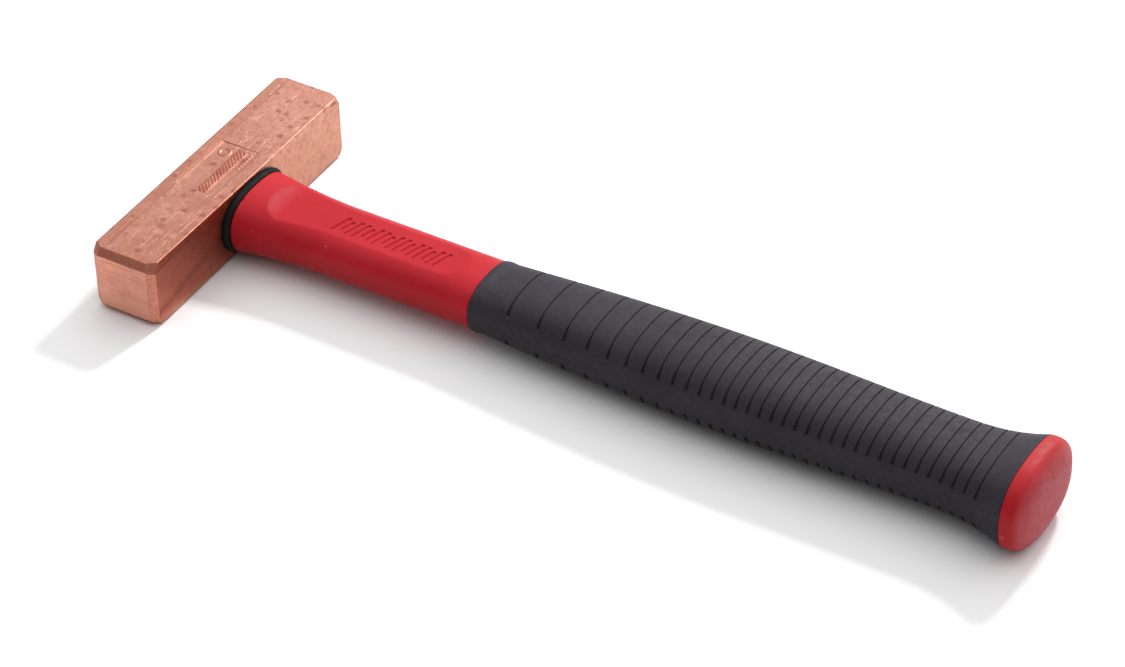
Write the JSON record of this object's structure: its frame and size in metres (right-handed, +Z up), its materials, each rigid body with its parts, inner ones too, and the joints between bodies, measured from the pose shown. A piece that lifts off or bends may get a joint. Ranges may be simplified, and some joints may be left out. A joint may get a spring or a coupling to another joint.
{
  "type": "copper hammer",
  "caption": "Soft-metal hammer: solid copper bar head on a fibreglass-cored handle with red plastic jacket, grooved black grip and red butt.",
  "frame": {"origin": "middle of the whole hammer's footprint, at the height of the butt's lowest point", "axes": "+X along the handle from the head to the butt, Y along the head from striking face to striking face, +Z up out of the stamped cheek"},
  "size_m": [0.3876, 0.135, 0.0359],
  "materials": {
    "copper": "satin",
    "resin": "satin",
    "black_rubber": "matte",
    "fibreglass": "satin",
    "red_plastic": "satin",
    "black_grip": "matte"
  },
  "bodies": {
    "root": {"head": "copper", "eye_potting": "resin", "neck_gasket": "black_rubber", "core_rod": "fibreglass", "handle_jacket": "red_plastic", "grip_sleeve": "black_grip", "butt_cap": "red_plastic"}
  },
  "joints": []
}
